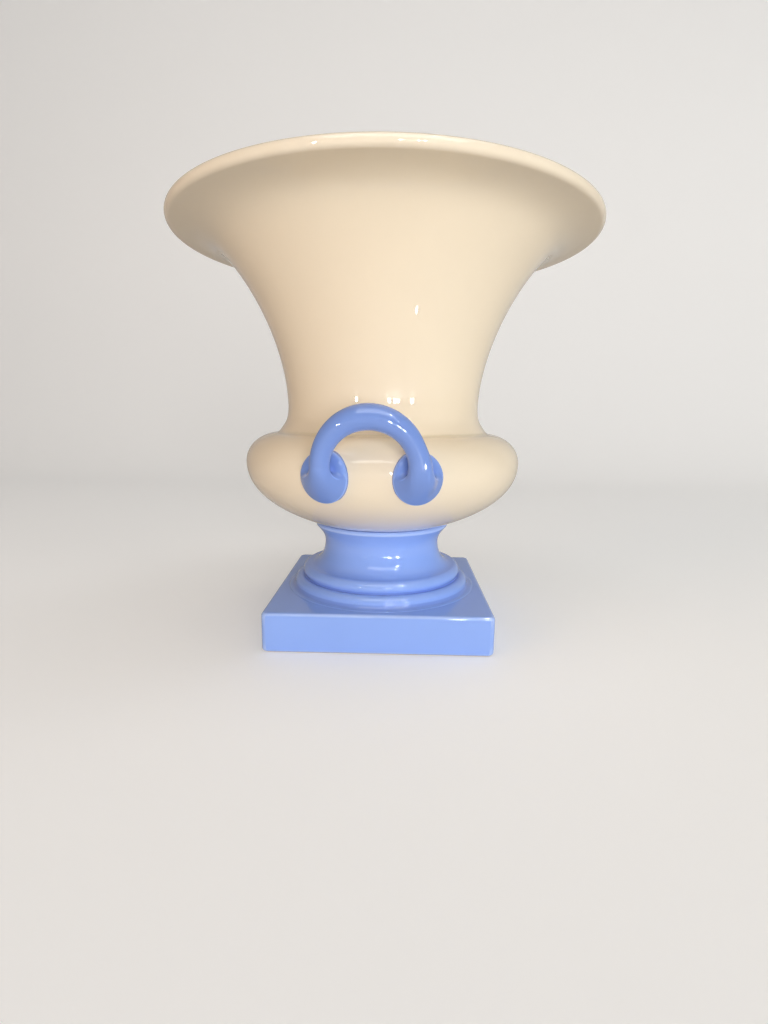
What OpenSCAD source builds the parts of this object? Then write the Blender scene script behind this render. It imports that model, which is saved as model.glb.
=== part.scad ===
// Two-handled campana urn vase in glazed earthenware.
// An ivory bowl stands on a blue spool foot and a blue square plinth,
// with a blue loop handle on the front and on the back of its lobe.
// Millimetres, +Z up, origin at the middle of the face that the urn rests on.

/* [Plinth] */
// Width of the square plinth
plinth_w = 115; // [112:0.5:130]
// Height of the plinth
plinth_h = 20.4; // [16:0.2:30]
// Wall of the plinth, which is open below
plinth_wall = 6; // [4:0.5:8]
// Thickness of the plinth's top
plinth_top_t = 6; // [4:0.5:9]
// Radius of the plinth's top and bottom edges
plinth_edge_r = 1.6; // [0.8:0.1:2.2]
// Radius of the plinth's upright corners
plinth_corner_r = 2.6; // [2.4:0.1:4]
// Radius of the corners inside the plinth
plinth_inner_r = 5; // [2:0.5:8]

/* [Foot] */
// Height of the foot, from the plinth to the bowl
foot_h = 36.7; // [34:0.1:46]
// Radius of the foot where it meets the plinth
foot_base_r = 53.2; // [52.9:0.1:54]
// Radius of the hollow where the foot meets the plinth
foot_hollow_r = 44.5; // [42:0.5:46]
// Radius of the waist
waist_r = 32.4; // [29:0.1:33.4]
// Height of the waist above the plinth
waist_h = 25; // [23:0.1:26.5]
// Wall of the foot at its waist
foot_wall = 5; // [4:0.1:7]
// Radius of the flange below the bowl
flange_r = 37.4; // [36.8:0.1:40]
// Drop from the bowl to the flange's edge
flange_drop = 2; // [1.2:0.1:3]
// Height of the lower ring's centre above the plinth
lower_ring_h = 3.2; // [3:0.1:3.6]
// Radius of the circle that the lower ring's centre runs on
lower_ring_r = 46.1; // [45.8:0.1:46.6]
// Radius of the lower ring's section
lower_ring_bead = 3.4; // [3.1:0.1:3.6]
// Height of the upper ring's centre above the plinth
upper_ring_h = 9.8; // [9.6:0.1:10.4]
// Radius of the circle that the upper ring's centre runs on
upper_ring_r = 41.6; // [41.2:0.1:42]
// Radius of the upper ring's section
upper_ring_bead = 3.4; // [3:0.1:3.5]

/* [Bowl] */
// Height of the bowl, from the foot to the top of the lip
bowl_h = 153.2; // [148:0.2:175]
// Diameter over the lip
rim_d = 217.8; // [206:0.2:226]
// Wall of the bowl, rounded over at the lip
bowl_wall = 5; // [4:0.1:6]
// Radius of the flat seat below the bowl
seat_r = 36.2; // [35:0.1:36.2]
// Greatest radius of the lobe
lobe_r = 74.9; // [72:0.1:79]
// Height of the lobe's widest place above the seat
lobe_h = 34.2; // [31.5:0.1:36]
// Slope of the lobe where it leaves the seat
lobe_slope = 0.35; // [0.25:0.01:0.5]
// Radius of the crease between the lobe and the neck
crease_r = 57; // [55.5:0.1:58.5]
// Height of the crease above the seat
crease_h = 49.6; // [49:0.1:52]
// Radius of the neck
neck_r = 52; // [50:0.1:53]
// Height of the narrowest place of the neck above the seat
neck_h = 62.9; // [60:0.1:66]
// Distance that the flared lip stands out from the bell
flare_reach = 23; // [20:0.1:25]
// Height of the flared lip
flare_rise = 8.7; // [8:0.1:11]
// Angle of the bell, from upright, where the lip flares
flare_angle = 42.5; // [38:0.5:47]

/* [Handles] */
// Turn of the bowl and its handles on the foot, in degrees
bowl_turn = -2.5; // [-10:0.5:10]
// Half the distance between the legs of a handle
leg_half = 21; // [19.5:0.1:24]
// Angle of a pad from the middle of its handle, seen from above
pad_angle = 16.1; // [15:0.1:18]
// Height of a pad's centre above the seat
pad_h = 32.2; // [30:0.1:33]
// Radius of a pad
pad_r = 11.4; // [10:0.1:12]
// Thickness of a pad at its edge
pad_edge_t = 2.8; // [2:0.1:3]
// Thickness of a pad at its middle, where the rod leaves it
pad_t = 3.6; // [3.2:0.1:4.2]
// Length over which a pad's middle narrows into the rod
blend_reach = 1.8; // [1:0.1:2.6]
// Extra radius of the rod where it leaves a pad
elbow_swell = 0.6; // [0:0.1:0.8]
// Distance of a leg's centre line beyond the place where the rod leaves a pad
elbow_reach = 5.6; // [5:0.1:8]
// Height of the arch's centre above the pads
arch_rise = 5.5; // [5:0.1:10]
// Radius of the rod at the crown of the arch
crown_rod_r = 5.6; // [4.5:0.1:6.2]
// Radius of the rod at its legs
leg_rod_r = 4.4; // [3.8:0.1:5]

/* [Hidden] */
blue = "#8EA3E6";
ivory = "#F1E4CB";
seat_z = plinth_h + foot_h;
round_sides = 96;
rod_sides = 24;

// Points of a cubic curve from a to d, which leaves a towards b and reaches d from c.
// The point a itself is left to the outline before it
function curve(a, b, c, d, steps = 12) =
    [for (i = [1:steps])
        let (t = i / steps, s = 1 - t)
        s * s * s * a + 3 * s * s * t * b + 3 * s * t * t * c + t * t * t * d];

// Points of an arc about a centre, both ends included
function arc(centre, r, from, to, steps = 12) =
    [for (i = [0:steps])
        let (angle = from + (to - from) * i / steps)
        centre + r * [cos(angle), sin(angle)]];

function unit(v) = v / norm(v);
function last(points) = points[len(points) - 1];
function backwards(points) = [for (i = [len(points) - 1:-1:0]) points[i]];

// Direction of a line of points at one of them
function direction(points, i) =
    unit(points[min(i + 1, len(points) - 1)] - points[max(i - 1, 0)]);

module rounded_rectangle(size, r) {
    square([size.x - 2 * r, size.y], center = true);
    square([size.x, size.y - 2 * r], center = true);
    for (x = [-1, 1], y = [-1, 1])
        translate([x * (size.x / 2 - r), y * (size.y / 2 - r)])
            circle(r, $fn = round_sides / 2);
}

// Bar along Y with the plinth's rounded top and bottom edges
module plinth_bar() {
    rotate([90, 0, 0])
        linear_extrude(2 * plinth_w, center = true)
            rounded_rectangle([plinth_w, plinth_h], plinth_edge_r);
}

// Square hollow block, open below, with a round hole in its top under the foot
module plinth() {
    cavity_w = plinth_w - 2 * plinth_wall;
    cavity_h = plinth_h - plinth_top_t;
    color(blue)
        difference() {
            translate([0, 0, plinth_h / 2])
                intersection() {
                    linear_extrude(2 * plinth_h, center = true)
                        rounded_rectangle([plinth_w, plinth_w], plinth_corner_r);
                    plinth_bar();
                    rotate([0, 0, 90]) plinth_bar();
                }
            translate([0, 0, -cavity_h])
                linear_extrude(2 * cavity_h)
                    rounded_rectangle([cavity_w, cavity_w], plinth_inner_r);
            cylinder(h = 2 * plinth_h, r = foot_hollow_r, $fn = round_sides);
        }
}

// Outside of the foot from the plinth up to the bowl: a fillet, two round rings,
// the deep cove of the waist, and the flange
function foot_outside() =
    let (
        fillet_w = 2.8,
        fillet_rise = 1.8,
        lower_ring = arc([lower_ring_r, lower_ring_h], lower_ring_bead, 0, 125),
        upper_ring = arc([upper_ring_r, upper_ring_h], upper_ring_bead, -45, 90),
        cove_start = last(upper_ring),
        cove_reach = 6.6,
        cove_drop = 5.5,
        waist = [waist_r, waist_h],
        waist_rise = 4.5,
        flange = [flange_r, foot_h - flange_drop],
        flange_undercut = [-2.3, -2.6],
        flange_bulge = 0.5
    )
    concat(
        [[foot_base_r, 0]],
        curve([foot_base_r, 0], [foot_base_r - fillet_w, 0],
            lower_ring[0] - [0, fillet_rise], lower_ring[0], 8),
        [for (i = [1:len(lower_ring) - 1]) lower_ring[i]],
        upper_ring,
        curve(cove_start, cove_start - [cove_reach, 0],
            waist - [0, cove_drop], waist, 14),
        curve(waist, waist + [0, waist_rise], flange + flange_undercut, flange),
        curve(flange, flange + [flange_bulge, flange_bulge],
            [flange_r - flange_bulge, foot_h], [seat_r, foot_h], 6)
    );

// Inside of the foot, from the bowl down to the plinth
function foot_inside() =
    let (
        throat_r = waist_r - foot_wall,
        throat = [throat_r, waist_h],
        throat_drop = 10,
        base_slope = [-6.5, 9]
    )
    concat(
        [[throat_r, foot_h], throat],
        curve(throat, throat - [0, throat_drop],
            [foot_hollow_r, 0] + base_slope, [foot_hollow_r, 0])
    );

module foot() {
    color(blue)
        translate([0, 0, plinth_h])
            rotate_extrude($fn = round_sides)
                polygon(concat(foot_outside(), foot_inside()));
}

// Outside of the lobe, from the axis along the seat and up to the crease
function lobe_outside() =
    let (
        seat = [seat_r, 0],
        widest = [lobe_r, lobe_h],
        crease = [crease_r, crease_h],
        under_reach = 10,
        under_drop = 21,
        shoulder_rise = 10.4,
        shoulder_reach = [7.3, 0.4]
    )
    concat(
        [[0, 0], seat],
        curve(seat, seat + under_reach * [1, lobe_slope],
            widest - [0, under_drop], widest, 16),
        curve(widest, widest + [0, shoulder_rise], crease + shoulder_reach, crease)
    );

// Outside of the neck and the bell, from the crease to the underside of the lip
function bell_outside() =
    let (
        crease = [crease_r, crease_h],
        neck = [neck_r, neck_h],
        crease_rise = [-1, 4],
        neck_drop = 9.6,
        bell_rise = 24,
        bell_pull = 28,
        flare_pull = 8,
        lip_pull = 11,
        lip = [rim_d / 2 - bowl_wall / 2, bowl_h - bowl_wall],
        flare = lip - [flare_reach, flare_rise],
        flare_way = [sin(flare_angle), cos(flare_angle)]
    )
    concat(
        curve(crease, crease + crease_rise, neck - [0, neck_drop], neck, 8),
        curve(neck, neck + [0, bell_rise], flare - bell_pull * flare_way, flare, 18),
        curve(flare, flare + flare_pull * flare_way, lip - [lip_pull, 0], lip, 10)
    );

// Round-bottomed wall of even thickness, whose edge is rounded over at the lip
module bowl() {
    outside = concat(lobe_outside(), bell_outside());
    lip = arc(last(outside) + [0, bowl_wall / 2], bowl_wall / 2, -90, 90);
    inside = [for (i = [1:len(outside) - 2])
        let (along = direction(outside, i))
        outside[i] + bowl_wall * [-along.y, along.x]];
    color(ivory)
        translate([0, 0, seat_z])
            rotate_extrude($fn = round_sides)
                polygon(concat(
                    outside,
                    [for (i = [1:len(lip) - 1]) lip[i]],
                    backwards(inside),
                    [[0, bowl_wall]]));
}

// Stations of a pad along its own axis, from inside the lobe out to the rod:
// distance from the lobe and radius there. The pad's face curves over into the rod
function pad_stations() =
    let (
        root_depth = 12,
        edge_r = 1,
        face_edge = [pad_edge_t, pad_r - edge_r],
        rod_start = [pad_t + blend_reach, leg_rod_r + elbow_swell],
        corner = [pad_t, leg_rod_r],
        pull = 0.6
    )
    concat(
        [[-root_depth, pad_r]],
        arc(face_edge - [edge_r, 0], edge_r, 90, 0, 3),
        curve(face_edge, face_edge + pull * (corner - face_edge),
            rod_start + pull * (corner - rod_start), rod_start, 5)
    );

// One half of a handle, from inside the lobe to the crown of the arch:
// centre of each ring, its radius, and the way out of the loop there
function half_handle(side) =
    let (
        out = [side * sin(pad_angle), -cos(pad_angle), 0],
        pad = lobe_r * out + [0, 0, pad_h],
        pads = pad_stations(),
        elbow_start = pad + last(pads)[0] * out,
        elbow_pull = 4,
        elbow_steps = 8,
        leg = [side * leg_half, elbow_start.y - elbow_reach, pad_h + arch_rise],
        elbow = curve(elbow_start, elbow_start + elbow_pull * out,
            leg - [0, 0, elbow_pull], leg, elbow_steps),
        arch_steps = 12
    )
    concat(
        [for (p = pads) [pad + p[0] * out, p[1], [side, 0, 0]]],
        [for (i = [1:elbow_steps])
            let (share = pow(1 - i / elbow_steps, 2))
            [elbow[i - 1], leg_rod_r + elbow_swell * share, [side, 0, 0]]],
        [for (i = [1:arch_steps])
            let (
                angle = 90 * i / arch_steps,
                way = [side * cos(angle), 0, sin(angle)],
                share = pow(sin(angle), 2)
            )
            [
                [0, leg.y, leg.z] + leg_half * way,
                leg_rod_r + (crown_rod_r - leg_rod_r) * share,
                way
            ]]
    );

// Loop of round rod, thickest at its crown, that ends in two round pads
module handle() {
    right = half_handle(1);
    left = half_handle(-1);
    rings = concat(right, [for (i = [len(left) - 2:-1:0]) left[i]]);
    centres = [for (ring = rings) ring[0]];
    points = [for (i = [0:len(rings) - 1])
        let (
            along = direction(centres, i),
            way = rings[i][2],
            across = unit(way - (way * along) * along),
            level = cross(along, across)
        )
        for (j = [0:rod_sides - 1])
            let (angle = 360 * j / rod_sides)
            centres[i] + rings[i][1] * (cos(angle) * across + sin(angle) * level)];
    walls = [for (i = [0:len(rings) - 2], j = [0:rod_sides - 1])
        let (next = (j + 1) % rod_sides)
        [
            i * rod_sides + j,
            (i + 1) * rod_sides + j,
            (i + 1) * rod_sides + next,
            i * rod_sides + next
        ]];
    first_end = [for (j = [0:rod_sides - 1]) j];
    last_end = [for (j = [rod_sides - 1:-1:0]) (len(rings) - 1) * rod_sides + j];
    color(blue)
        translate([0, 0, seat_z])
            rotate([0, 0, bowl_turn])
                difference() {
                    polyhedron(points, concat(walls, [first_end, last_end]));
                    rotate_extrude($fn = round_sides)
                        polygon(concat(lobe_outside(), [[0, crease_h]]));
                }
}

module handle_front() {
    handle();
}

module handle_back() {
    rotate([0, 0, 180]) handle();
}

plinth();
foot();
bowl();
handle_front();
handle_back();
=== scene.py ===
"""A two-handled campana urn vase in glossy ivory and blue glaze, built from its plinth up."""

import math

import bpy
import numpy as np
from mathutils import Matrix, Vector


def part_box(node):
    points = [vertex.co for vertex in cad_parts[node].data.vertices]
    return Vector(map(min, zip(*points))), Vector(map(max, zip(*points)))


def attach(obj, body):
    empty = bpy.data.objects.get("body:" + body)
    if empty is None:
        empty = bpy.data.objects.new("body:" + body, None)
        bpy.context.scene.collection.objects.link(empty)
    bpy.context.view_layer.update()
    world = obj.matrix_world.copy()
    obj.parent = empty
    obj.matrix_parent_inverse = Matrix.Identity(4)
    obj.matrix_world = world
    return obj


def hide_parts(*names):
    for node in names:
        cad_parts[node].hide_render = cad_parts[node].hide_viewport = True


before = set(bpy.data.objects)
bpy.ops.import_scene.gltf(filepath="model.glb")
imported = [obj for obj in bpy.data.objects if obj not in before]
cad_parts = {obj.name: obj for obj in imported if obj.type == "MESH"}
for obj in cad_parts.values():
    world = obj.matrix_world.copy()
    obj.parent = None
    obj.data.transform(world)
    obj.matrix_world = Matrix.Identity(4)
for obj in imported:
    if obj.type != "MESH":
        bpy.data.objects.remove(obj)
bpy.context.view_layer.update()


# The plinth is a square block of pressed earthenware, hollow and open below. Its edges are
# soft from sponging, and its blue glaze runs thin and pale over them. It stands on a bare rim.

_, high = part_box("plinth")
PLINTH_HALF = high.x
PLINTH_TOP = high.z
PLINTH_EDGE = 0.0018
PLINTH_CORNER = 0.0028
PLINTH_WALL = 0.006
PLINTH_CEILING = PLINTH_TOP - PLINTH_WALL
PLINTH_HOLE = 0.0445
RIM_BEVEL = 0.0012
SIDE_STATIONS = 26
CORNER_STATIONS = 9

BLUE = (0.285, 0.445, 0.930)
BLUE_THIN = (0.430, 0.580, 0.960)
BLUE_DEEP = (0.175, 0.280, 0.710)
BLUE_MOTTLE = 0.5
BARE_CLAY = (0.620, 0.500, 0.370)

# The glaze thins and pools between these bends of the surface, in 1/m, and its clouds shift
# both by up to half of the third value.
THINS_AT = (240.0, 640.0)
POOLS_AT = (60.0, 420.0)
CLOUDS_SHIFT = 160.0
THIN_SHARE = 0.85
DEEP_SHARE = 0.7

# Heights of the dry rim, of the fade and wander of its edge, and of the reach and wander of a
# blue tint, partly run-over glaze and partly a painted reflection of the blue foot.
DRY_RIM = 0.0005
DRY_RIM_FADE = 0.0001
DRY_RIM_WANDER = 0.0004
RUN_AND_REFLECTION_REACH = 0.0045
RUN_AND_REFLECTION_WANDER = 0.0012
RUN_AND_REFLECTION_SHARE = 0.8


def faces_of_grid(rows, columns, closed_rows):
    """Quads between neighbours of a rows x columns grid of points whose columns close on
    themselves; its rows do too where closed_rows is true."""
    i = np.arange(rows if closed_rows else rows - 1)[:, None]
    j = np.arange(columns)[None, :]
    up, across = (i + 1) % rows, (j + 1) % columns
    quad = (i * columns + j, i * columns + across, up * columns + across, up * columns + j)
    return np.stack(quad, axis=-1).reshape(-1, 4)


def bend_of_grid(points, closed_rows):
    """How sharply a surface bends, in 1/m and positive where it is convex: the sum over both
    directions of the grid of 2 * (way to the neighbour after + way to the one before, each of
    length 1) / (sum of their distances), taken along the inward normal."""
    total = np.zeros_like(points)
    steps = []
    for axis in (0, 1):
        after, before = np.roll(points, -1, axis) - points, np.roll(points, 1, axis) - points
        if axis == 0 and not closed_rows:
            after[-1], before[0] = -before[-1], -after[0]
        ahead = np.linalg.norm(after, axis=2, keepdims=True) + 1e-9
        behind = np.linalg.norm(before, axis=2, keepdims=True) + 1e-9
        total += 2 * (after / ahead + before / behind) / (ahead + behind)
        steps.append(after - before)
    normal = np.cross(steps[1], steps[0])
    normal /= np.linalg.norm(normal, axis=2, keepdims=True) + 1e-12
    return -(total * normal).sum(axis=2)


def soften(values, times):
    """Each value becomes a quarter, half, quarter mean with its neighbours along the rows,
    the given number of times, as a wet glaze evens itself out."""
    for _ in range(times):
        padded = np.concatenate([values[:1], values, values[-1:]])
        values = 0.25 * padded[:-2] + 0.5 * padded[1:-1] + 0.25 * padded[2:]
    return values


def surface(name, points, material, closed_rows=True, poles=()):
    """A mesh on a grid of points (rows, columns, xyz). Columns close on themselves. Rows do
    too, or each end is closed by a fan of triangles to one of two poles. Its vertices carry
    how sharply it bends, for the glaze."""
    rows, columns = points.shape[:2]
    vertices = points.reshape(-1, 3)
    ring = np.arange(columns)
    faces = faces_of_grid(rows, columns, closed_rows).tolist()
    for k, pole in enumerate(poles):
        tip = np.full(columns, rows * columns + k)
        edge = ring + (rows - 1) * columns * k
        fan = (tip, np.roll(edge, -1), edge) if k == 0 else (tip, edge, np.roll(edge, -1))
        faces += np.stack(fan, axis=1).tolist()
        vertices = np.vstack([vertices, pole])
    mesh = bpy.data.meshes.new(name)
    mesh.from_pydata(vertices.tolist(), [], faces)
    mesh.polygons.foreach_set("use_smooth", np.ones(len(mesh.polygons), dtype=bool))
    bend = soften(bend_of_grid(points, closed_rows), 2).reshape(-1)
    bend = np.concatenate([bend, np.zeros(len(poles))]).astype(np.float32)
    mesh.attributes.new("bend", "FLOAT", "POINT").data.foreach_set("value", bend)
    mesh.materials.append(material)
    piece = bpy.data.objects.new(name, mesh)
    bpy.context.scene.collection.objects.link(piece)
    return piece


class Value:
    """An output of a shader node. Arithmetic on it adds Math nodes."""

    def __init__(self, tree, socket=None):
        self.tree = tree
        self.socket = socket

    def node(self, kind, inputs, settings=None, output=0):
        """Adds a node of a kind. Its settings are set first, and then its sockets, each from
        a number, a colour or another Value."""
        made = self.tree.nodes.new("ShaderNode" + kind)
        for key, setting in (settings or {}).items():
            setattr(made, key, setting)
        for key, item in inputs.items():
            if isinstance(item, Value):
                self.tree.links.new(item.socket, made.inputs[key])
            else:
                made.inputs[key].default_value = item
        return Value(self.tree, made.outputs[output])

    def math(self, operation, *terms):
        """A Math node of an operation on its terms."""
        return self.node("Math", dict(enumerate(terms)), {"operation": operation})

    def __add__(self, other):
        return self.math("ADD", self, other)

    def __sub__(self, other):
        return self.math("SUBTRACT", self, other)

    def __rsub__(self, other):
        return self.math("SUBTRACT", other, self)

    def __mul__(self, other):
        return self.math("MULTIPLY", self, other)

    __radd__ = __add__
    __rmul__ = __mul__

    def ramp(self, low, high):
        """0 up to low, 1 from high, and a smooth step between."""
        return self.node("MapRange", {"Value": self, "From Min": low, "From Max": high},
                         {"interpolation_type": "SMOOTHSTEP"})

    def mix(self, first, second):
        """The first colour where this value is 0, and the second where it is 1."""
        first, second = ((*c, 1.0) if isinstance(c, tuple) else c for c in (first, second))
        return self.node("Mix", {0: self, 6: first, 7: second}, {"data_type": "RGBA"}, 2)

    def noise(self, scale, detail=2.0, roughness=0.5):
        """Clouds from 0 to 1 at this place."""
        return self.node("TexNoise", {"Vector": self, "Scale": scale, "Detail": detail,
                                      "Roughness": roughness})

    def to_output(self, kind):
        """Ends the tree in this shader."""
        output = self.tree.nodes.new(kind)
        self.tree.links.new(self.socket, output.inputs["Surface"])


def empty_tree(owner):
    """A material's or world's shader, cleared, as a Value to start from."""
    owner.use_nodes = True
    owner.node_tree.nodes.clear()
    return Value(owner.node_tree)


def glaze(name, full, thin, deep, mottle, bare_below, run_and_reflection=(0.5, 0.5, 0.5), run_and_reflection_below=-1.0):
    """A glossy glaze over pale clay. It is thin and light where the surface bends outwards,
    pools deep in hollows, and is mottled a little everywhere. Under it, the clay's surface
    is slightly uneven, which the glaze softens. Below a height, it is wiped off the dry clay.
    Towards another height, it takes the colour of a glaze next to it: partly that glaze run in,
    partly a painted reflection of it."""
    material = bpy.data.materials.new(name)
    start = empty_tree(material)
    place = start.node("TexCoord", {}, output="Object")
    height = start.node("SeparateXYZ", {"Vector": place}, output="Z")
    bend = start.node("Attribute", {}, {"attribute_name": "bend"}, "Fac")
    broad = place.noise(scale=34.0) - 0.5
    cloudy = place.noise(scale=150.0, detail=4.0, roughness=0.6) - 0.5
    waves = place.noise(scale=75.0, detail=1.0)
    fine = place.noise(scale=1900.0, detail=3.0)

    tone = (broad * 0.9 + cloudy * 0.3) * mottle + 0.5
    darker, lighter = (tuple(share * c for c in full) for share in (0.95, 1.04))
    edge = (bend + cloudy * CLOUDS_SHIFT).ramp(*THINS_AT)
    pool = (cloudy * CLOUDS_SHIFT - bend).ramp(*POOLS_AT)
    # Blue tint towards the foot: partly its glaze run in, partly a painted reflection of the blue
    # foot.
    run_and_reflection_mask = (cloudy * RUN_AND_REFLECTION_WANDER - height + run_and_reflection_below).ramp(0.0, RUN_AND_REFLECTION_REACH)
    covered = (height + cloudy * DRY_RIM_WANDER).ramp(bare_below - DRY_RIM_FADE,
                                                      bare_below + DRY_RIM_FADE)
    colour = tone.ramp(0.0, 1.0).mix(darker, lighter)
    colour = (edge * THIN_SHARE).mix(colour, thin)
    colour = (pool * DEEP_SHARE).mix(colour, deep)
    colour = (run_and_reflection_mask * RUN_AND_REFLECTION_SHARE).mix(colour, run_and_reflection)
    colour = covered.mix(BARE_CLAY, colour)

    uneven = waves * 0.9 + fine * 0.012
    bump = start.node("Bump", {"Height": uneven, "Strength": 0.2, "Distance": 0.0006})
    start.node("BsdfPrincipled", {
        "Base Color": colour,
        "Roughness": covered * -0.10 + fine * 0.10 + 0.95,
        "IOR": 1.5,
        "Specular IOR Level": 0.0,
        "Coat Weight": covered,
        "Coat Roughness": 0.03,
        "Coat IOR": 1.52,
        "Normal": bump,
    }).to_output("ShaderNodeOutputMaterial")
    return material


def square_outline(straight, corner):
    """Stations round a square of half-width 1: the corner point or side point that each
    stands on, and the direction that it faces. A side has `straight` stations and a corner,
    which stays in place while its direction turns by 90 degrees, has `corner`."""
    along = np.linspace(-1.0, 1.0, straight, endpoint=False)
    turn = np.radians(np.linspace(0.0, 90.0, corner, endpoint=False))
    points, facing = [], []
    for side in range(4):
        angle = math.radians(90 * side)
        out = np.array([math.cos(angle), math.sin(angle)])
        left = np.array([-out[1], out[0]])
        points += [out + left * along[:, None], np.tile(out + left, (corner, 1))]
        facing += [np.full(straight, angle), angle + turn]
    return np.vstack(points), np.concatenate(facing)


def plinth_section():
    """Stations of the plinth's wall, from the hole's edge over the top, down the side, under
    the rim and up inside, back to the hole. Each is (inset, corner radius, height, roundness).
    On a soft edge, inset and drop follow a quarter circle: edge * (1 - sin a) and
    edge * (1 - cos a)."""
    quarter = np.radians(np.linspace(0.0, 90.0, 8))
    inset, drop = PLINTH_EDGE * (1 - np.sin(quarter)), PLINTH_EDGE * (1 - np.cos(quarter))
    side = np.linspace(PLINTH_TOP - PLINTH_EDGE, PLINTH_EDGE, 8)[1:-1]
    rim = PLINTH_WALL - RIM_BEVEL
    stations = [(-r, 0.0, PLINTH_TOP, 1.0) for r in (0.0005, 0.0025, 0.0050)]
    stations += [(PLINTH_EDGE + d, PLINTH_CORNER, PLINTH_TOP, 0.0) for d in (0.0035, 0.0015, 0.0004)]
    stations += [(d, PLINTH_CORNER, PLINTH_TOP - h, 0.0) for d, h in zip(inset, drop)]
    stations += [(0.0, PLINTH_CORNER, z, 0.0) for z in side]
    stations += [(d, PLINTH_CORNER, h, 0.0) for d, h in zip(inset[::-1], drop[::-1])]
    stations += [
        (rim, 0.0040, 0.0, 0.0),
        (rim + 0.0009, 0.0045, 0.0003, 0.0),
        (PLINTH_WALL, 0.0050, 0.0014, 0.0),
        (PLINTH_WALL, 0.0050, PLINTH_CEILING - 0.004, 0.0),
        (PLINTH_WALL + 0.001, 0.0060, PLINTH_CEILING - 0.001, 0.0),
        (PLINTH_WALL + 0.004, 0.0080, PLINTH_CEILING, 0.0),
        (0.0, 0.0, PLINTH_CEILING, 1.0),
        (0.0, 0.0, PLINTH_TOP - 0.0001, 1.0),
    ]
    return np.array(stations)


def plinth_points():
    """Grid of the plinth. Each row carries a station of the section round: a rounded square
    of inset d and corner radius c at height z, drawn towards a circle by a share s. The
    square is (half - d - c) * corner + c * (cos a, sin a), and the circle, of the hole's
    radius less d, runs at the same bearing."""
    corner, facing = square_outline(SIDE_STATIONS, CORNER_STATIONS)
    bearing = np.arctan2(corner[:, 1], corner[:, 0])
    circle = np.stack([np.cos(bearing), np.sin(bearing)], axis=1)
    arrow = np.stack([np.cos(facing), np.sin(facing)], axis=1)
    section = plinth_section()[::-1]
    d, c, z, s = (section[:, k][:, None, None] for k in range(4))
    square = (PLINTH_HALF - d - c) * corner + c * arrow
    flat = s * (PLINTH_HOLE - d) * circle + (1 - s) * square
    return np.concatenate([flat, np.broadcast_to(z, flat.shape[:2] + (1,))], axis=2)


blue_glaze = glaze("blue_glaze", BLUE, BLUE_THIN, BLUE_DEEP, BLUE_MOTTLE, DRY_RIM)
plinth = surface("plinth_block", plinth_points(), blue_glaze)
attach(plinth, "root")
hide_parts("plinth")


# The foot is a hollow spool, cast in one with its flange and its two round rings. The glaze
# fills the corner where it is luted to the plinth, lies dark between the rings and pale on them.

low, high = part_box("foot")
FOOT_LOW = low.z
FOOT_HIGH = high.z
FOOT_BASE = high.x
WAIST = (0.0324, FOOT_LOW + 0.0250)
FLANGE = (0.0374, FOOT_HIGH - 0.0020)
SEAT_RADIUS = 0.0362
LOWER_RING = (0.0461, FOOT_LOW + 0.0028)
LOWER_BEAD = 0.0034
UPPER_RING = (0.0416, FOOT_LOW + 0.0090)
UPPER_BEAD = 0.0034
THROAT = 0.0274
FOOT_SOFTNESS = 0.00035
FOOT_ROWS = 230
TURNS = 224

# How far and which way each curve is pulled from its two ends, as (radius, height).
FILLET_PULLS = (-0.0028, 0), (0, -0.0018)
COVE_PULLS = (-0.0066, 0), (0, -0.0055)
RISE_PULLS = (0, 0.0045), (-0.0023, -0.0026)
FLANGE_PULLS = (0.0005, 0.0005), (0.0007, 0)
HOLLOW_PULLS = (0, -0.010), (-0.0065, 0.009)


def curve(start, start_pull, end_pull, end, count=60):
    """Points (1-t)^3 a + 3(1-t)^2 t b + 3(1-t) t^2 c + t^3 d for t from 0 to 1, where a and d
    are the ends, b is the start plus its pull and c is the end plus its pull."""
    t = np.linspace(0.0, 1.0, count)[:, None]
    a, d = np.array(start), np.array(end)
    b, c = a + start_pull, d + end_pull
    return (1 - t) ** 3 * a + 3 * (1 - t) ** 2 * t * b + 3 * (1 - t) * t ** 2 * c + t ** 3 * d


def arc(centre, radius, start, end, count=40):
    """Points centre + radius * (cos a, sin a) for a from start to end, in degrees."""
    angle = np.radians(np.linspace(start, end, count))
    return np.array(centre) + radius * np.stack([np.cos(angle), np.sin(angle)], axis=1)


def glazed_outline(pieces, softness, count, step=0.0001, crowding=20.0, near=9):
    """The pieces of an outline joined, evened out and spaced anew. The outline is walked in
    equal steps, averaged with a bell-shaped weight of width `softness`, which rounds its
    corners as glaze does, and resampled so that its points stand closer where it bends: by
    1 + crowding * the turn, in radians, over the `near` steps around."""
    line = np.vstack(pieces)
    length = np.linalg.norm(np.diff(line, axis=0), axis=1)
    line = line[np.concatenate([[True], length > 1e-7])]
    run = np.concatenate([[0.0], np.cumsum(np.linalg.norm(np.diff(line, axis=0), axis=1))])
    even = np.arange(0.0, run[-1], step)
    line = np.stack([np.interp(even, run, line[:, k]) for k in (0, 1)], axis=1)
    reach = int(softness * 4 / step)
    weight = np.exp(-0.5 * (np.arange(-reach, reach + 1) * step / softness) ** 2)
    weight /= weight.sum()
    before = 2 * line[0] - line[reach:0:-1]
    after = 2 * line[-1] - line[-2:-reach - 2:-1]
    padded = np.vstack([before, line, after])
    line = np.stack([np.convolve(padded[:, k], weight, "valid") for k in (0, 1)], axis=1)
    way = np.diff(line, axis=0)
    turn = np.abs(np.diff(np.unwrap(np.arctan2(way[:, 1], way[:, 0]))))
    turn = np.concatenate([[0.0], turn, [0.0, 0.0]])
    density = 1.0 + np.convolve(turn, np.full(near, crowding), "same")
    share = np.concatenate([[0.0], np.cumsum(density[1:])])
    place = np.interp(np.linspace(0.0, share[-1], count), share, np.arange(len(share)))
    return np.stack([np.interp(place, np.arange(len(line)), line[:, k]) for k in (0, 1)], axis=1)


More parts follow.
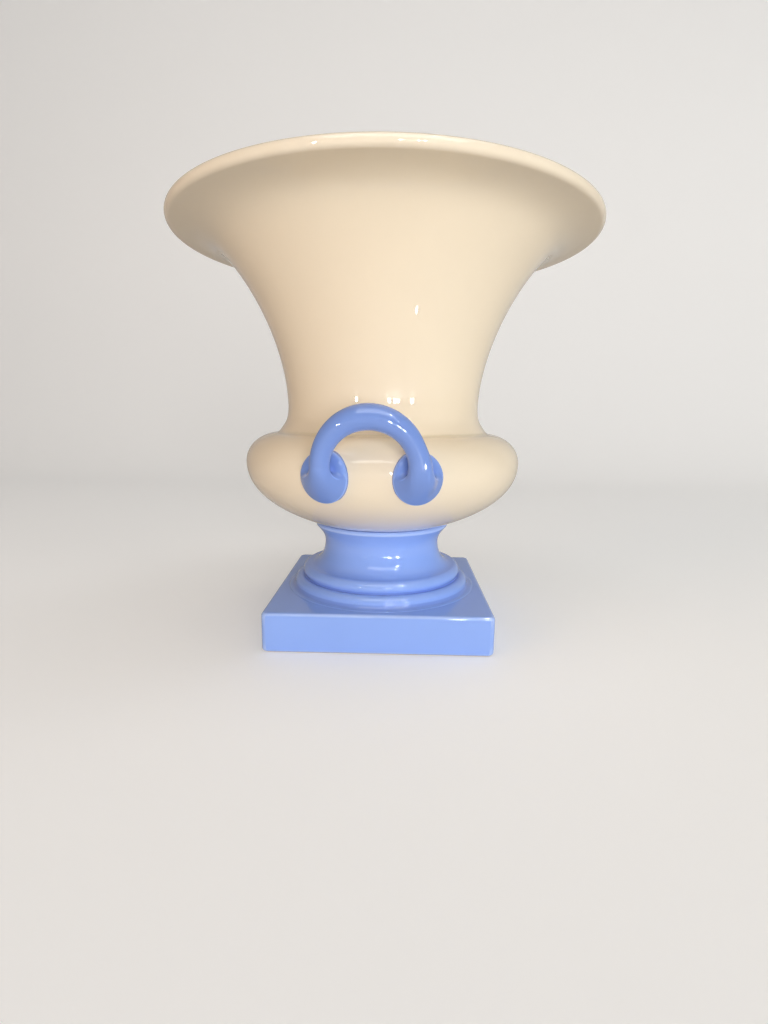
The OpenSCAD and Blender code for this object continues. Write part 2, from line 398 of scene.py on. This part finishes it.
def revolved(outline):
    """Each outline point (r, z) carried round the axis: (r cos a, r sin a, z)."""
    angle = np.linspace(0.0, 2 * math.pi, TURNS, endpoint=False)
    r, z = outline[:, 0][:, None], outline[:, 1][:, None]
    return np.stack([r * np.cos(angle), r * np.sin(angle), z + 0 * angle], axis=2)


def foot_outline():
    """Section of the foot: fillet, lower ring, upper ring, cove, rise to the flange, its
    edge, the seat, and the hollow inside, back down to the plinth."""
    lower = arc(LOWER_RING, LOWER_BEAD, 0, 125)
    upper = arc(UPPER_RING, UPPER_BEAD, -45, 90)
    fillet = curve([FOOT_BASE, FOOT_LOW], *FILLET_PULLS, lower[0])
    cove = curve(upper[-1], *COVE_PULLS, WAIST)
    rise = curve(WAIST, *RISE_PULLS, FLANGE)
    edge = curve(FLANGE, *FLANGE_PULLS, [SEAT_RADIUS, FOOT_HIGH])
    hollow = curve([THROAT, WAIST[1]], *HOLLOW_PULLS, [PLINTH_HOLE, FOOT_LOW])
    return [fillet, lower, upper, cove, rise, edge, [[THROAT, FOOT_HIGH]], hollow]


foot_line = glazed_outline(foot_outline(), FOOT_SOFTNESS, FOOT_ROWS)
foot = surface("spool_foot", revolved(foot_line), blue_glaze)
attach(foot, "root")
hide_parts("foot")


# The bowl is one casting of even wall: a round lobe, a crease, a narrow neck and a bell that
# flares into a rounded lip. Its ivory glaze pools greenish in the crease and is thin on the
# lip. Next to the foot it turns blue, partly from the foot's glaze run in and partly as a
# painted reflection of the blue foot.

low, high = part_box("bowl")
SEAT = low.z
RIM = high.x
BOWL_WALL = 0.005
LOBE = (0.0749, SEAT + 0.0342)
CREASE = (0.0570, SEAT + 0.0496)
NECK = (0.0520, SEAT + 0.0629)
LIP = (RIM - BOWL_WALL / 2, high.z - BOWL_WALL)
FLARE = (LIP[0] - 0.0230, LIP[1] - 0.0087)
FLARE_ANGLE = math.radians(42.5)
CASTING_SOFTNESS = 0.0015
CASTING_STEPS = 1400
BOWL_SOFTNESS = 0.0004
BOWL_ROWS = 300
INSIDE_GAP = 0.0010
POLE_GAP = 0.0008

UNDER_PULLS = (0.010, 0.0035), (0, -0.021)
SHOULDER_PULLS = (0, 0.0104), (0.0073, 0.0004)
CREASE_PULLS = (-0.001, 0.004), (0, -0.0096)
BELL_PULLS = 0.024, 0.028
SPREAD_PULLS = 0.008, 0.011

IVORY = (0.885, 0.765, 0.585)
IVORY_THIN = (0.910, 0.805, 0.650)
IVORY_DEEP = (0.700, 0.620, 0.420)
# Partly blue glaze run over from the foot, partly a painted reflection of the blue foot.
IVORY_RUN_AND_REFLECTION = (0.480, 0.530, 0.760)
IVORY_MOTTLE = 0.25


def bowl_outline():
    """Outside of the bowl from the axis to the lip: seat, lobe, crease, neck, bell, flare.
    The bell comes into the flare at its angle from upright, and the lip is level."""
    way = np.array([math.sin(FLARE_ANGLE), math.cos(FLARE_ANGLE)])
    under = curve([SEAT_RADIUS, SEAT], *UNDER_PULLS, LOBE)
    shoulder = curve(LOBE, *SHOULDER_PULLS, CREASE)
    cove = curve(CREASE, *CREASE_PULLS, NECK)
    bell = curve(NECK, [0, BELL_PULLS[0]], -BELL_PULLS[1] * way, FLARE)
    spread = curve(FLARE, SPREAD_PULLS[0] * way, [-SPREAD_PULLS[1], 0], LIP)
    return [[[0.0, SEAT]], under, shoulder, cove, bell, spread]


def inner_side(line, wall):
    """A line moved by the wall to its left, across its direction at each point."""
    way = np.gradient(line, axis=0)
    way /= np.linalg.norm(way, axis=1, keepdims=True)
    return line + wall * np.stack([-way[:, 1], way[:, 0]], axis=1)


outside = glazed_outline(bowl_outline(), CASTING_SOFTNESS, CASTING_STEPS)
inside = inner_side(outside, BOWL_WALL)[::-1]
inside = inside[inside[:, 0] > INSIDE_GAP]
lip = arc((outside[-1, 0], outside[-1, 1] + BOWL_WALL / 2), BOWL_WALL / 2, -90, 90)
outline = glazed_outline([outside, lip, inside], BOWL_SOFTNESS, BOWL_ROWS)
outline = outline[outline[:, 0] > POLE_GAP]
poles = [(0, 0, outline[0, 1]), (0, 0, outline[-1, 1])]
ivory_glaze = glaze("ivory_glaze", IVORY, IVORY_THIN, IVORY_DEEP, IVORY_MOTTLE, bare_below=0.0,
                    run_and_reflection=IVORY_RUN_AND_REFLECTION, run_and_reflection_below=SEAT + RUN_AND_REFLECTION_REACH)
bowl = surface("bowl", revolved(outline), ivory_glaze, closed_rows=False, poles=poles)
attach(bowl, "root")
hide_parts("bowl")


# Each handle is a loop of round rod, thickest at its bowed crown, whose ends are pressed into
# two thick pads, luted to the lobe. Slip fills the corners, most of all under the elbows, so
# rod and pad run into each other. Their blue is darker than the plinth's and the foot's.

# A darker blue for the handles than for the plinth and foot.
BLUE_HANDLE_DARKER = (0.200, 0.320, 0.720)
BOWL_TURN = math.radians(-2.5)
PAD_ANGLE = math.radians(16.1)
PAD_HEIGHT = SEAT + 0.0322
PAD_RADIUS = 0.0114
PAD_TALLER = 1.055
PAD_ROOT = 0.0015
PAD_EDGE_THICKNESS = 0.0028
PAD_EDGE_WIDTH = 0.0036
PAD_EDGE_RISE = 0.0024
LEG_X = 0.021
LEG_TOP = PAD_HEIGHT + 0.0055
LEG_REACH = 0.0034
ROD_LEAVES = 0.0054
ARCH_BOW = 0.0022
ROD_AT_LEG = 0.0044
ROD_AT_CROWN = 0.0056
PAD_OUT = np.array([math.sin(PAD_ANGLE), -math.cos(PAD_ANGLE), 0.0])
PAD_ACROSS = np.array([math.cos(PAD_ANGLE), math.sin(PAD_ANGLE), 0.0])
PAD_CENTRE = LOBE[0] * PAD_OUT + np.array([0.0, 0.0, PAD_HEIGHT])
LOBE_LINE = outside[outside[:, 1] < CREASE[1]][::2]

# The gusset of slip between pad and rod is full below the first of these heights round the
# pad, given as sines, and gone above the second. Where it is full, the rounding of the pad's
# edge stops short by the third, in degrees.
GUSSET_FULL = -0.10
GUSSET_GONE = 0.52
GUSSET_STOP = 62

# How far the curves from pad to leg are pulled out of each, what the pulls gain with the
# gusset, and what they gain again below the elbow.
PAD_PULLS = 0.0030, 0.0012, 0.0020
LEG_PULLS = 0.0025, 0.0020, 0.0025

# The right leg is splayed outwards. The splay starts this far above the leg's top and this
# far off the pad, and grows over the length beside each. Its width is across the leg.
RIGHT_SPLAY = 0.0016
SPLAY_ABOVE_LEG, SPLAY_FALL = 0.012, 0.014
SPLAY_OFF_PAD, SPLAY_STAND = 0.001, 0.008
SPLAY_WIDTH = 0.006

LOOP_COLUMNS = 128
PAD_SIDE_ROWS = 16
PAD_EDGE_ROWS = 14
GUSSET_ROWS = 60
ROD_ROWS = 90


def unit(vectors):
    """The vectors, each divided by its length."""
    return vectors / np.linalg.norm(vectors, axis=-1, keepdims=True)


def rod_line():
    """Centre line of the rod over a quarter circle from the top of a leg to the crown, which
    bows forward with the squared sine of the angle, and its radius, which grows with it too."""
    angle = np.linspace(0, math.pi / 2, ROD_ROWS)
    growth = np.sin(angle) ** 2
    x = LEG_X * np.cos(angle)
    y = (PAD_CENTRE + PAD_OUT * ROD_LEAVES)[1] - LEG_REACH - ARCH_BOW * growth
    z = LEG_TOP + LEG_X * np.sin(angle)
    return np.stack([x, y, z], axis=1), ROD_AT_LEG + (ROD_AT_CROWN - ROD_AT_LEG) * growth


def above_lobe(points):
    """Signed distance of points from the lobe's outline, positive outside: their offset from
    the nearest point of the outline, along the outline's normal there."""
    flat = np.stack([np.hypot(points[..., 0], points[..., 1]), points[..., 2]], axis=-1)
    nearest = ((flat[..., None, :] - LOBE_LINE) ** 2).sum(axis=-1).argmin(axis=-1)
    way = np.gradient(LOBE_LINE, axis=0)
    normal = unit(np.stack([way[:, 1], -way[:, 0]], axis=1))
    return ((flat - LOBE_LINE[nearest]) * normal[nearest]).sum(axis=-1)


def smooth_step(values):
    """0 below 0, 1 above 1, and 3x^2 - 2x^3 between."""
    values = np.clip(values, 0, 1)
    return values ** 2 * (3 - 2 * values)


def handle_points():
    """Grid of half a handle, from inside the lobe's wall to the crown. Rings run up the pad's
    side and round its edge, an ellipse. From there each column is a cubic curve into the ring
    at the leg's top, and rings about the rod's line follow. Above the elbow the curve crosses
    the pad flat and leaves a crevice. Beside and below it, it rises straight away, as the
    rod's end is smeared out over the pad."""
    turn = np.linspace(0, 2 * math.pi, LOOP_COLUMNS, endpoint=False)[:, None]
    gusset = smooth_step((GUSSET_GONE - np.sin(turn)) / (GUSSET_GONE - GUSSET_FULL))
    below = smooth_step(-np.sin(turn))

    wheel = np.cos(turn) * PAD_ACROSS + np.sin(turn) * np.array([0, 0, PAD_TALLER])
    rim = PAD_CENTRE + PAD_RADIUS * wheel
    fall = above_lobe(rim)[:, None]
    brow = PAD_EDGE_THICKNESS - PAD_EDGE_RISE - 0.5 * fall
    share = np.linspace(0, 1, PAD_SIDE_ROWS)[:, None, None]
    side = rim + ((1 - share) * (-PAD_ROOT - fall) + share * brow) * PAD_OUT
    edge = np.linspace(0, 1, PAD_EDGE_ROWS)[1:][:, None, None]
    edge = edge * np.radians(90 - GUSSET_STOP * gusset)
    curl = PAD_CENTRE + (PAD_RADIUS - PAD_EDGE_WIDTH * (1 - np.cos(edge))) * wheel \
        + (brow + PAD_EDGE_RISE * np.sin(edge)) * PAD_OUT
    last = edge[-1]
    onward = unit(PAD_EDGE_RISE * np.cos(last) * PAD_OUT - PAD_EDGE_WIDTH * np.sin(last) * wheel)

    line, radius = rod_line()
    way = unit(np.gradient(line, axis=0))
    first = (line - [0, 0, LEG_TOP]) * [1, 0, 1] / LEG_X
    first = unit(first - (first * way).sum(axis=1, keepdims=True) * way)
    second = np.cross(way, first)
    ring = np.cos(turn) * first[:, None] + np.sin(turn) * second[:, None]
    rod = line[:, None] + radius[:, None, None] * ring

    pad_pull, leg_pull = (pull + beside * gusset + under * below
                          for pull, beside, under in (PAD_PULLS, LEG_PULLS))
    t = np.linspace(0, 1, GUSSET_ROWS)[1:-1][:, None, None]
    face = (1 - t) ** 3 * curl[-1] + 3 * (1 - t) ** 2 * t * (curl[-1] + pad_pull * onward) \
        + 3 * (1 - t) * t ** 2 * (rod[0] - leg_pull * way[0]) + t ** 3 * rod[0]
    return np.concatenate([side, curl, face, rod])


def splay(points):
    """How far the right leg's points move outwards: the splay times a smooth step down from
    the leg's top, one away from the pad and one outwards across the leg."""
    off_pad = (points - PAD_CENTRE) @ [0, -1, 0]
    down = smooth_step((LEG_TOP + SPLAY_ABOVE_LEG - points[..., 2]) / SPLAY_FALL)
    away = smooth_step((off_pad - SPLAY_OFF_PAD) / SPLAY_STAND)
    outwards = smooth_step((points[..., 0] - LEG_X) / SPLAY_WIDTH + 0.5)
    return RIGHT_SPLAY * (down * away) * outwards


# The handles take the darker blue.
handle_glaze = glaze("blue_glaze_handle_darker", BLUE_HANDLE_DARKER, BLUE, BLUE_DEEP, BLUE_MOTTLE, DRY_RIM)
half = handle_points()
loop = np.concatenate([half, (half[::-1] * [-1.0, 1.0, 1.0])[1:]])
loop[..., 0] += splay(loop)
root = PAD_CENTRE - PAD_ROOT * PAD_OUT
roots = np.array([root, root * [-1, 1, 1]])
for name, turn in (("handle_front", BOWL_TURN), ("handle_back", BOWL_TURN + math.pi)):
    cosine, sine = math.cos(turn), math.sin(turn)
    spin = np.array([[cosine, sine, 0], [-sine, cosine, 0], [0, 0, 1]])
    handle = surface(name + "_loop", loop @ spin, handle_glaze, closed_rows=False,
                     poles=roots @ spin)
    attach(handle, "root")
    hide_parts(name)


# The floor is a sheet of pale paper that curves up into the backdrop. To the camera it glows
# a little, so that it stays pale without more light on the urn.

FLOOR_FRONT = 1.6
FLOOR_HALF_WIDTH = 2.2
SWEEP_BACK = 1.1
SWEEP_BEND = 0.5
SWEEP_TOP = 1.9
PAPER = (0.80, 0.79, 0.77, 1.0)
PAPER_GLOW = (1.0, 0.99, 0.97)
PAPER_GLOW_STRENGTH = 0.26

sweep = np.vstack([
    [[-FLOOR_FRONT, 0.0]],
    arc((SWEEP_BACK - SWEEP_BEND, SWEEP_BEND), SWEEP_BEND, -90, 0, 24),
    [[SWEEP_BACK, SWEEP_TOP]],
])
across = np.tile([-FLOOR_HALF_WIDTH, FLOOR_HALF_WIDTH], len(sweep))
vertices = np.column_stack([across, np.repeat(sweep, 2, axis=0)])
quads = 2 * np.arange(len(sweep) - 1)[:, None] + np.array([[0, 1, 3, 2]])
floor_mesh = bpy.data.meshes.new("floor")
floor_mesh.from_pydata(vertices.tolist(), [], quads.tolist())
floor_mesh.polygons.foreach_set("use_smooth", np.ones(len(quads), dtype=bool))
paper = bpy.data.materials.new("backdrop_paper")
start = empty_tree(paper)
seen = start.node("LightPath", {}, output="Is Camera Ray")
start.node("BsdfPrincipled", {
    "Base Color": PAPER,
    "Roughness": 0.8,
    "Specular IOR Level": 0.2,
    "Emission Color": seen.mix((0.0, 0.0, 0.0), PAPER_GLOW),
    "Emission Strength": PAPER_GLOW_STRENGTH,
}).to_output("ShaderNodeOutputMaterial")
floor_mesh.materials.append(paper)
floor = bpy.data.objects.new("floor", floor_mesh)
bpy.context.scene.collection.objects.link(floor)


# The light is soft: a wide lamp in front, weaker ones from the left, which is warm, from the
# right and from behind, a long one overhead, and an even, dim surround. A pane high in front
# and small, bright lamps light nothing, but show in the wet glaze as its sheen and its beads.

URN_MIDDLE = (0, 0, 0.1)
WHITE = (1.0, 1.0, 1.0)
WARM = (1.0, 0.65, 0.42)
SOFTBOX_SIZE = 0.7
SOFTBOXES = (
    ("front_softbox", (0.30, -1.40, 0.15), 16.5, WHITE),
    ("left_softbox", (-1.1, -0.8, 0.45), 3.4, WARM),
    ("right_softbox", (1.2, -0.7, 0.30), 3.2, WHITE),
    ("back_softbox", (1.7, 0.5, 1.0), 4, WHITE),
)
SPARK_DISTANCE = 1.2
SPARK_LEVEL = 0.05
SPARK_TARGET = (0, 0, 0.08)
SPARK_BRIGHTNESS = 320.0
SPARKS = (
    ("left_spark", -28, 0, 0.045),
    ("middle_spark_1", 8, 0.5, 0.045),
    ("middle_spark_2", 14.5, 0.5, 0.045),
    ("middle_spark_3", 18, 0.5, 0.045),
    ("right_spark", 33.5, 0.5, 0.05),
    ("right_spark_2", 33, 29, 0.03),
    ("right_spark_3", 33, 46, 0.03),
    ("right_spark_4", 33, 62, 0.03),
)
LOW_SPARK_SIZE = 0.004
LOW_SPARK_BRIGHTNESS = 160.0
SURROUND_LIGHT = 0.15
SURROUND_SEEN = 0.74


def lamp(name, place, target, width, power, colour=WHITE, height=None, glossy=True, diffuse=True):
    """An area lamp, square if it has no height, that faces a target. The camera doesn't see
    it, the glaze mirrors it where glossy is true, and it lights things where diffuse is."""
    data = bpy.data.lights.new(name, "AREA")
    data.size = width
    data.energy = power
    data.color = colour
    if height:
        data.shape = "RECTANGLE"
        data.size_y = height
    made = bpy.data.objects.new(name, data)
    made.location = place
    made.rotation_euler = (Vector(target) - Vector(place)).to_track_quat("-Z", "Y").to_euler()
    made.visible_camera = False
    made.visible_glossy = glossy
    made.visible_diffuse = diffuse
    bpy.context.scene.collection.objects.link(made)


def bead_power(brightness, size):
    """Power of a small lamp: brightness * pi * size^2, so a larger one isn't dimmer."""
    return brightness * math.pi * size ** 2


for name, place, power, colour in SOFTBOXES:
    lamp(name, place, URN_MIDDLE, SOFTBOX_SIZE, power, colour, glossy=False)
lamp("top_strip", (0.1, -0.30, 1.65), URN_MIDDLE, 1.6, 5, height=0.5)
lamp("window", (0.08, -0.82, 1.05), SPARK_TARGET, 1.2, 8.5, height=0.7, diffuse=False)
for name, azimuth, elevation, size in SPARKS:
    azimuth, elevation = math.radians(azimuth), math.radians(elevation)
    level_distance = SPARK_DISTANCE * math.cos(elevation)
    place = (level_distance * math.sin(azimuth), -level_distance * math.cos(azimuth),
             SPARK_LEVEL + SPARK_DISTANCE * math.sin(elevation))
    lamp(name, place, SPARK_TARGET, size, bead_power(SPARK_BRIGHTNESS, size), diffuse=False)
lamp("low_spark", (0.124, -0.216, 0.034), (0.016, -0.06, 0.164), LOW_SPARK_SIZE,
     bead_power(LOW_SPARK_BRIGHTNESS, LOW_SPARK_SIZE), diffuse=False)

world = bpy.data.worlds.new("surround")
bpy.context.scene.world = world
start = empty_tree(world)
dim = start.node("Background", {"Color": (1.0, 1.0, 1.0, 1.0), "Strength": SURROUND_LIGHT})
pale = start.node("Background", {"Color": (1.0, 0.99, 0.97, 1.0), "Strength": SURROUND_SEEN})
seen = start.node("LightPath", {}, output="Is Camera Ray")
start.node("MixShader", {0: seen, 1: dim, 2: pale}).to_output("ShaderNodeOutputWorld")
bpy.context.scene.view_settings.view_transform = "Standard"


# The camera stands close in front, a little above the handles, and looks down slightly. Its
# turn, tilt and roll are in radians, and its focal length is in pixels of the frame.

FOCAL_PIXELS = 545.0
FRAME_HEIGHT = 1024
SENSOR = 36.0
CAMERA_PLACE = (0.0085, -0.3092, 0.1172)
CAMERA_TURN = 0.0236
CAMERA_TILT = -0.1788
CAMERA_ROLL = 0.0121

camera_data = bpy.data.cameras.new("camera")
camera_data.sensor_width = SENSOR
camera_data.lens = SENSOR * FOCAL_PIXELS / FRAME_HEIGHT
camera_data.clip_start = 0.01
camera = bpy.data.objects.new("camera", camera_data)
camera.matrix_world = (
    Matrix.Translation(CAMERA_PLACE)
    @ Matrix.Rotation(CAMERA_TURN, 4, "Z")
    @ Matrix.Rotation(math.pi / 2 + CAMERA_TILT, 4, "X")
    @ Matrix.Rotation(CAMERA_ROLL, 4, "Z")
)
bpy.context.scene.collection.objects.link(camera)
bpy.context.scene.camera = camera
